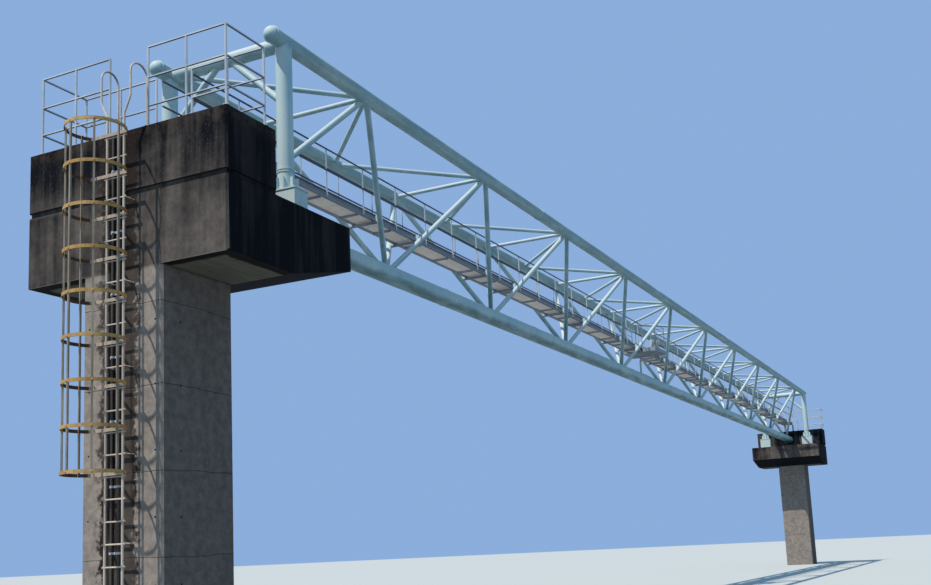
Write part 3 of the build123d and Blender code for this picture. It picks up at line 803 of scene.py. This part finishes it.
# %% Bolt ends and base plates
def bolt_end(across, thick, thread):
    """A hexagon nut with the end of its thread showing."""
    shape = bmesh.new()
    bmesh.ops.create_circle(shape, cap_ends=True, segments=6, radius=across / 2)
    eased(shape, raised(shape, shape.faces[:], thick), across * 0.09)
    stub = bmesh.ops.create_circle(shape, cap_ends=True, segments=6, radius=across * 0.26)["verts"]
    bmesh.ops.translate(shape, vec=(0, 0, thick * 0.6), verts=stub)
    cap = [face for face in shape.faces if all(vert in stub for vert in face.verts)]
    raised(shape, cap, thread + thick * 0.4)
    return kept(shape, "bolt_end")


def round_plate(radius, thick, segments=20):
    """A disc with an eased rim."""
    shape = bmesh.new()
    bmesh.ops.create_circle(shape, cap_ends=True, segments=segments, radius=radius)
    eased(shape, raised(shape, shape.faces[:], thick), thick * 0.3)
    return kept(shape, "round_plate")


SMALL_BOLT = bolt_end(across=0.010, thick=0.005, thread=0.003)
LARGE_BOLT = bolt_end(across=0.026, thick=0.012, thread=0.010)
print("bolt faces", len(SMALL_BOLT.polygons), len(LARGE_BOLT.polygons))

# %% [markdown]
# Every post of the pier-top railings stands on a round base plate with two bolts. The corner
# posts are at the ends of the railing's box, and the others divide each bay evenly. A railing may
# leave a gap, for the ladder or the walkway.

# %% Railing base plates
BASE_THICK = 0.005
BASE_BOLT_OFFSET = 0.018
BASE = round_plate(0.026, BASE_THICK)
POST_PITCH = 0.40
LADDER_GAP = (-0.217, 0.145)
WALKWAY_GATE = (-0.250, 0.095)
RAILING_GAPS = {
    "near_back_railing": LADDER_GAP,
    "near_front_railing": WALKWAY_GATE,
    "far_back_railing": None,
    "far_front_railing": WALKWAY_GATE,
}


def posts_between(start, end):
    """Even places from start to end, as the railings' posts have."""
    bays = max(1, round(abs(end - start) / POST_PITCH))
    return [start + (end - start) * index / bays for index in range(bays + 1)]


def posts_of(node, gap):
    """The Y of the posts of a railing, with the gap in it left open."""
    low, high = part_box(node)
    tube = (high[0] - low[0]) / 2
    if gap is None:
        return posts_between(low[1] + tube, high[1] - tube)
    return posts_between(gap[0], low[1] + tube) + posts_between(gap[1], high[1] - tube)


bases = bmesh.new()
for node, gap in RAILING_GAPS.items():
    post_x = middle(node).x
    for post_y in posts_of(node, gap):
        stamp(bases, BASE, seat(post_x, post_y, PARAPET_Z))
        for side in SIDES:
            bolt_y = post_y + side * BASE_BOLT_OFFSET
            stamp(bases, SMALL_BOLT, seat(post_x, bolt_y, PARAPET_Z + BASE_THICK))
add_piece("railing_base_plates", bases, "galvanised_tube")

# %% [markdown]
# Under the deck, an angle bar stiffens every joint between two plates. Its profile is an L of six
# points, extruded across the deck.

# %% Deck stiffeners
def angle_bar(leg, thick, length):
    """An L-shaped bar with its corner on top, extruded along Z."""
    corners = ((0, 0), (leg, 0), (leg, -thick), (thick, -thick), (thick, -leg), (0, -leg))
    return kept(plate(corners, 0, length), "angle_bar")


deck_low, deck_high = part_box("walkway_deck")
BOARDS_PER_PANEL = 4
STIFFENER_LEG = 0.024
STIFFENER = angle_bar(STIFFENER_LEG, 0.004, deck_high[1] - deck_low[1])
board_count = round((deck_high[0] - deck_low[0]) / PANEL * BOARDS_PER_PANEL)
board_step = (deck_high[0] - deck_low[0]) / board_count
across_deck = turned_to((1, 0, 0), (0, 0, 1), (0, 1, 0))
stiffeners = bmesh.new()
for index in range(1, board_count):
    joint_x = deck_low[0] + index * board_step
    under_joint = Matrix.Translation((joint_x - STIFFENER_LEG / 2, deck_low[1], deck_low[2]))
    stamp(stiffeners, STIFFENER, under_joint @ across_deck)
bmesh.ops.recalc_face_normals(stiffeners, faces=stiffeners.faces)
add_piece("deck_stiffeners", stiffeners, "walkway_steel")

# %% [markdown]
# The cross bearers hang on small gusset plates that are welded to the web tubes. Each gusset is
# a plate with one corner cut off and its edges eased. The bearers' height tells how far up the
# web tubes they are, and so how far out.

# %% Bearer gussets
def gusset(width, height, thick):
    """An upright plate with a cut corner, standing on its long edge."""
    corners = ((0, 0), (width, 0), (width, height * 0.4), (width * 0.45, height), (0, height))
    shape = plate(corners, -thick / 2, thick)
    eased(shape, shape.edges[:], thick * 0.2)
    return kept(shape, "gusset")


GUSSET = gusset(0.060, 0.062, 0.006)
GUSSET_INSET = 0.014
GUSSET_RISE = 0.010
bearer_z = middle("walkway_bearers").z
climb = (bearer_z - PIPE_Z) / (CHORD_Z - PIPE_Z)
gussets = bmesh.new()
for node_x, step, side in product(NODE_X, SIDES, SIDES):
    bearer_x = node_x + step * climb * PANEL / 2
    if NEAR_X < bearer_x < FAR_X:
        inwards = turned_to((0, -side, 0), (0, 0, 1), (1, 0, 0))
        gusset_y = side * (climb * CHORD_Y - GUSSET_INSET)
        corner = Matrix.Translation((bearer_x, gusset_y, bearer_z + GUSSET_RISE))
        stamp(gussets, GUSSET, corner @ inwards)
bmesh.ops.recalc_face_normals(gussets, faces=gussets.faces)
add_piece("bearer_gussets", gussets, "truss_paint")

# %% [markdown]
# Tube joints are closed by a weld bead. The bead follows the saddle where a tube meets its
# host: a ring is spun round the tube's own axis, and then every point slides along that axis
# until it lies on the host's surface. How far it slides comes from a quadratic, the distance of
# a line to a cylinder. The hosts, which are the pipe and the chords, all run along X.

# %% A weld bead on a saddle
HOST_ALONG = Vector((1, 0, 0))


def ring(radius, bead=0.0040, steps=14):
    """A slim ring round Z, spun from a small square section."""
    shape = bmesh.new()
    section = bmesh.ops.create_circle(shape, segments=4, radius=bead)["verts"]
    stand_up = Matrix.Translation((radius, 0, 0)) @ Matrix.Rotation(math.pi / 2, 4, "X")
    bmesh.ops.transform(shape, matrix=stand_up, verts=section)
    spun(shape, shape.edges[:], 2 * math.pi, steps, closed=True)
    bmesh.ops.remove_doubles(shape, verts=shape.verts, dist=1e-6)
    return kept(shape, "ring")


def saddle(work, template, start, run, tube, host):
    """Lay a ring where a tube from a host's axis comes out of the host."""
    verts = stamp(work, template, seat(*start, outward=run))
    run = run.normalized()
    flat_run = run - HOST_ALONG * run.dot(HOST_ALONG)
    for vert in verts:
        away = vert.co - start
        around = (away - run * away.dot(run)).normalized() * tube
        flat = around - HOST_ALONG * around.dot(HOST_ALONG)
        half_b = flat.dot(flat_run)
        over_host = flat.length_squared - host**2
        rest = max(0.0, half_b**2 - flat_run.length_squared * over_host)
        vert.co += run * (math.sqrt(rest) - half_b) / flat_run.length_squared


WEB_RADIUS = 0.0285
LATERAL_RADIUS = 0.0225
CHORD_RADIUS = 0.067
PIPE_RADIUS = 0.095
web_ring = ring(WEB_RADIUS)
lateral_ring = ring(LATERAL_RADIUS)
chord_ring = ring(CHORD_RADIUS, bead=0.0055, steps=28)
print("ring faces", len(web_ring.polygons), len(chord_ring.polygons))

# %% [markdown]
# Each panel has four web joints on each side, a strut, and two laterals that slant from one
# chord to the other. The laterals' ends at the portals go to a beam, so they get no bead. The
# columns are as thick as the chords that they carry.

# %% Weld beads
beads = bmesh.new()
for index, top_x in enumerate(STRUT_X):
    ends = (NODE_X[index], NODE_X[index + 1])
    for side in SIDES:
        top = Vector((top_x, side * CHORD_Y, CHORD_Z))
        for foot_x in ends:
            foot = Vector((foot_x, 0, PIPE_Z))
            saddle(beads, web_ring, foot, top - foot, WEB_RADIUS, PIPE_RADIUS)
            saddle(beads, web_ring, top, foot - top, WEB_RADIUS, CHORD_RADIUS)
        inwards = Vector((0, -side, 0))
        saddle(beads, lateral_ring, top, inwards, LATERAL_RADIUS, CHORD_RADIUS)
    near_end = Vector((top_x, -CHORD_Y, CHORD_Z))
    for far_x in ends:
        far_end = Vector((far_x, CHORD_Y, CHORD_Z))
        run = far_end - near_end
        saddle(beads, lateral_ring, near_end, run, LATERAL_RADIUS, CHORD_RADIUS)
        if NEAR_X < far_x < FAR_X:
            saddle(beads, lateral_ring, far_end, -run, LATERAL_RADIUS, CHORD_RADIUS)
for column_x, side in product((NEAR_X, FAR_X), SIDES):
    head = Vector((column_x, side * CHORD_Y, CHORD_Z))
    saddle(beads, chord_ring, head, Vector((0, 0, -1)), CHORD_RADIUS, CHORD_RADIUS)
add_piece("weld_beads", beads, "truss_paint", smooth=True)

# %% [markdown]
# The chords are made of several lengths, so they have girth welds too, and one at each end cap.
# These are the same rings, round the chord's own axis.

# %% Girth welds
PAST_NODE = 0.30
girths = bmesh.new()
chord_low, chord_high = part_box("left_chord")
lengths_end = [NODE_X[index] + PAST_NODE for index in (2, 4, 6, 8)]
for side, weld_x in product(SIDES, [chord_low[0], chord_high[0]] + lengths_end):
    stamp(girths, chord_ring, seat(weld_x, side * CHORD_Y, CHORD_Z, (1, 0, 0)))
add_piece("girth_welds", girths, "truss_paint", smooth=True)

# %% [markdown]
# Each shoe is bolted to the ledge through lugs at its foot. A lug is a square plate with rounded
# corners and one large bolt end on it.

# %% Shoe anchors
def lug(width, thick):
    """A flat square lug whose corners are rounded."""
    shape = bmesh.new()
    bmesh.ops.create_grid(shape, x_segments=1, y_segments=1, size=0.5)
    bmesh.ops.scale(shape, vec=(width, width, 1), verts=shape.verts)
    raised(shape, shape.faces[:], thick)
    upright = []
    for edge in shape.edges:
        if abs(edge.verts[0].co.z - edge.verts[1].co.z) > thick / 2:
            upright.append(edge)
    eased(shape, upright, width * 0.2, segments=3)
    return kept(shape, "lug")


LUG_WIDTH = 0.070
LUG_THICK = 0.012
LUG_FROM_CORNER = 0.055
ANCHOR_OUT = 0.006
LUG = lug(LUG_WIDTH, LUG_THICK)
SHOE_HALF = (0.176 / 2, 0.278 / 2)
anchors = bmesh.new()
for column_x, side, end, step in product((NEAR_X, FAR_X), SIDES, SIDES, SIDES):
    lug_x = column_x + end * (SHOE_HALF[0] + LUG_WIDTH / 2)
    lug_y = side * CHORD_Y + step * (SHOE_HALF[1] - LUG_FROM_CORNER)
    stamp(anchors, LUG, seat(lug_x, lug_y, LEDGE_Z))
    stamp(anchors, LARGE_BOLT, seat(lug_x + end * ANCHOR_OUT, lug_y, LEDGE_Z + LUG_THICK))
add_piece("shoe_anchors", anchors, "truss_paint")

# %% [markdown]
# The rungs go through the ladder's stringers and end in rusty nuts, set in by a little.

# %% Ladder nuts
RUNG_STEP = 0.150
RUNG_TOP = PARAPET_Z - 0.082
NUT_INSET = 0.010
RUNG_NUT = bolt_end(across=0.019, thick=0.008, thread=0.004)
rung_low, rung_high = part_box("ladder")
ladder_x = middle("ladder").x
nuts = bmesh.new()
rung_z = RUNG_TOP
while rung_z > rung_low[2] + 0.01:
    for side, end_y in ((-1, rung_low[1]), (1, rung_high[1])):
        stamp(nuts, RUNG_NUT, seat(ladder_x, end_y - side * NUT_INSET, rung_z, (0, side, 0)))
    rung_z -= RUNG_STEP
add_piece("rung_nuts", nuts, "ladder_paint")

# %% [markdown]
# The cage's hoops and straps are held by a bolt wherever they cross. The straps stand round its
# back at a regular turn.

# %% Cage bolts
HOOPS = 9
MIDDLE_STRAP = 172
STRAP_TURN = 50
cage_bolts = bmesh.new()
for index, step in product(range(HOOPS), (-2, -1, 0, 1, 2)):
    turn = math.radians(MIDDLE_STRAP + step * STRAP_TURN)
    outward = Vector((math.cos(turn), math.sin(turn), 0))
    axis = Vector((CAGE_X, CAGE_Y, TOP_HOOP - index * HOOP_STEP))
    stamp(cage_bolts, SMALL_BOLT, seat(*(axis + outward * CAGE_RADIUS), outward=outward))
add_piece("cage_bolts", cage_bolts, "ladder_paint")

# %% [markdown]
# The two conduits are held to the pier by saddle clips. A clip is a flat strap: its end face is
# spun half a turn round the tube, and then a foot is put at each end.

# %% Conduit clips
def conduit_clip(radius, width, thick, foot):
    """A strap over a tube that stands off the wall, with a foot on each side."""
    shape = bmesh.new()
    outer, half = radius + thick, width / 2
    corners = ((radius, -half), (outer, -half), (outer, half), (radius, half))
    start = shape.faces.new([shape.verts.new((x, -radius, z)) for x, z in corners])
    _, end = pushed(shape, [start], (0, radius, 0))
    pushed(shape, [face_in(spun(shape, [end], math.pi, 10))], (0, -radius, 0))
    for side in SIDES:
        sole = bmesh.ops.create_grid(shape, x_segments=1, y_segments=1, size=0.5)["verts"]
        beside_strap = Matrix.Translation((side * (outer + foot / 2), -radius, 0))
        turned = beside_strap @ Matrix.Rotation(math.pi / 2, 4, "X")
        scaled = Matrix.Diagonal((foot, width, 1, 1))
        bmesh.ops.transform(shape, matrix=turned @ scaled, verts=sole)
        pushed(shape, [sole[0].link_faces[0]], (0, thick, 0))
    return kept(shape, "conduit_clip")


CONDUIT_Y = (0.012, 0.076)
CONDUIT_RADIUS = 0.010
CLIP = conduit_clip(CONDUIT_RADIUS, width=0.016, thick=0.0025, foot=0.016)
CLIP_STEP = 0.45
off_the_back = turned_to((0, 1, 0), (-1, 0, 0), (0, 0, 1))
clips = bmesh.new()
for conduit_y in CONDUIT_Y:
    clip_z = CLIP_STEP
    while clip_z < PARAPET_Z - 0.1:
        centre = Matrix.Translation((BACK_X - CONDUIT_RADIUS, conduit_y, clip_z))
        stamp(clips, CLIP, centre @ off_the_back)
        clip_z += CLIP_STEP
add_piece("conduit_clips", clips, "galvanised_tube")

# %% [markdown]
# The handrail posts are bolted to the channels, two bolts to each post, on its outer face. The
# platform has posts of its own.

# %% Handrail bolts
BOLT_RISES = (0.018, 0.048)
channel_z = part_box("right_walkway_channel")[0][2]
post_face = abs(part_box("right_handrail")[0][1])
platform_low, platform_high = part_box("valve_platform")
post_bolts = bmesh.new()
for index in range(PANELS * BOARDS_PER_PANEL + 1):
    post_x = NEAR_X + index * PANEL / BOARDS_PER_PANEL
    if not platform_low[0] < post_x < platform_high[0]:
        for side, rise in product(SIDES, BOLT_RISES):
            place = (post_x, side * post_face, channel_z + rise)
            stamp(post_bolts, SMALL_BOLT, seat(*place, outward=(0, side, 0)))
add_piece("handrail_bolts", post_bolts, "galvanised_tube")

# %% [markdown]
# The branch of the air valve comes up through the platform inside a bolted ring, which closes
# the hole round the tube.

# %% Valve foot flange
VALVE_OFFSET = 0.225
PLATFORM_THICK = 0.066
FLANGE_THICK = 0.008
BOLT_CIRCLE = 0.036
flange = round_plate(0.044, FLANGE_THICK, segments=24)
valve_x = middle("valve_platform").x
slab_top = platform_low[2] + PLATFORM_THICK
valve_fittings = bmesh.new()
stamp(valve_fittings, flange, seat(valve_x, -VALVE_OFFSET, slab_top))
for index in range(4):
    turn = math.radians(45 + 90 * index)
    bolt_x = valve_x + BOLT_CIRCLE * math.cos(turn)
    bolt_y = -VALVE_OFFSET + BOLT_CIRCLE * math.sin(turn)
    stamp(valve_fittings, SMALL_BOLT, seat(bolt_x, bolt_y, slab_top + FLANGE_THICK))
add_piece("valve_foot_flange", valve_fittings, "valve_body")

# %% [markdown]
# The camera stands low down on the right of the near pier and looks up along the bridge.
# Its place and angles come from a fit of the bridge's corners to the picture's view, halved
# like everything else. The picture was cut from a taller one, so the lens is shifted a little.

# %% Camera
REAL_EYE = Vector((-13.5338, -10.6944, -5.1956))
TURN, TILT, ROLL = 0.45034, 0.15750, -0.04604
FOCAL_PIXELS = 1081.709
PICTURE_WIDTH, PICTURE_HEIGHT = 931, 585
CENTRE_ROW = 380.02
SENSOR_WIDTH = 36.0

flat = Vector((math.cos(TURN), math.sin(TURN), 0))
ahead = flat * math.cos(TILT) + Vector((0, 0, math.sin(TILT)))
level = ahead.cross(Vector((0, 0, 1))).normalized()
over = level.cross(ahead)
right = level * math.cos(ROLL) + over * math.sin(ROLL)
up = over * math.cos(ROLL) - level * math.sin(ROLL)
camera = put_in_scene("camera", bpy.data.cameras.new("camera"))
eye = Vector((NEAR_X, 0, LEDGE_Z)) + REAL_EYE / 2
camera.matrix_world = Matrix.Translation(eye) @ turned_to(right, up, -ahead)
camera.data.sensor_width = SENSOR_WIDTH
camera.data.lens = FOCAL_PIXELS / PICTURE_WIDTH * SENSOR_WIDTH
camera.data.shift_y = (CENTRE_ROW - PICTURE_HEIGHT / 2) / PICTURE_WIDTH
camera.data.clip_end = 500.0
bpy.context.scene.camera = camera
print("camera at", [round(value, 3) for value in camera.location])

# %% [markdown]
# A plain pale floor carries the piers. It looks pale to the camera, but less of its light falls
# on the bridge, which keeps the shaded sides deep. The Light Path node tells the two kinds of
# ray apart.

# %% Floor
FLOOR_RADIUS = 220.0
FLOOR_SEEN = (0.60, 0.61, 0.60)
FLOOR_LIT = (0.27, 0.29, 0.31)


def seen_rays(tree):
    """A mask of the rays that show a background: from the camera, gloss and glass."""
    ray = add_node(tree, "ShaderNodeLightPath").outputs
    gloss = sums(tree, "MAXIMUM", ray["Is Glossy Ray"], ray["Is Transmission Ray"])
    return sums(tree, "MAXIMUM", ray["Is Camera Ray"], gloss)


disc = bmesh.new()
bmesh.ops.create_circle(disc, cap_ends=True, segments=96, radius=FLOOR_RADIUS)
floor_mesh = bpy.data.meshes.new("floor")
disc.to_mesh(floor_mesh)
disc.free()
floor = put_in_scene("floor", floor_mesh)
floor_finish = bpy.data.materials.new("plain_floor")
floor_finish.use_nodes = True
floor_tree = floor_finish.node_tree
floor_shader = floor_tree.nodes["Principled BSDF"]
floor_colour = blend(floor_tree, seen_rays(floor_tree), FLOOR_LIT, FLOOR_SEEN)
feed(floor_tree, floor_shader, {"Base Color": floor_colour, "Roughness": 0.9})
floor_mesh.materials.append(floor_finish)
print("floor ready")

# %% [markdown]
# A plain backdrop stands behind, in the same way: the camera sees one colour, and another one
# lights the shaded sides of the bridge.

# %% Backdrop
BACKDROP = (0.26, 0.42, 0.71)
SHADE_LIGHT = (0.34, 0.66, 1.0)
SHADE_STRENGTH = 0.46

world = bpy.data.worlds.new("studio")
bpy.context.scene.world = world
world.use_nodes = True
sky = world.node_tree
glow = sky.nodes["Background"]
feed(sky, glow, {"Color": SHADE_LIGHT, "Strength": SHADE_STRENGTH})
backdrop = add_node(sky, "ShaderNodeBackground", {"Color": BACKDROP})
ends = {0: seen_rays(sky), 1: glow.outputs[0], 2: backdrop.outputs[0]}
either = add_node(sky, "ShaderNodeMixShader", ends)
feed(sky, sky.nodes["World Output"], {"Surface": either.outputs[0]})
print("backdrop ready")

# %% [markdown]
# One lamp lights the bridge from behind the near pier's left side, high up, as the shadows of the
# ladder's cage show. Its disc is a little wider than the sun's, so the shadows have soft edges,
# and the backdrop fills the shaded sides with a bluer light.

# %% Lamp
TO_LAMP = Vector((-0.46, 0.24, 0.855))
LAMP_STRENGTH = 3.35
LAMP_DISC = math.radians(0.7)
LAMP_COLOUR = (1.0, 0.95, 0.84)

lamp = put_in_scene("key_lamp", bpy.data.lights.new("key_lamp", "SUN"))
lamp.rotation_mode = "QUATERNION"
lamp.rotation_quaternion = TO_LAMP.to_track_quat("Z", "Y")
lamp.data.energy = LAMP_STRENGTH
lamp.data.angle = LAMP_DISC
lamp.data.color = LAMP_COLOUR
print("lamp from", list(TO_LAMP))

# %% [markdown]
# The view is set to Standard, so that a colour comes out as it was written.

# %% Finish
bpy.context.scene.view_settings.view_transform = "Standard"
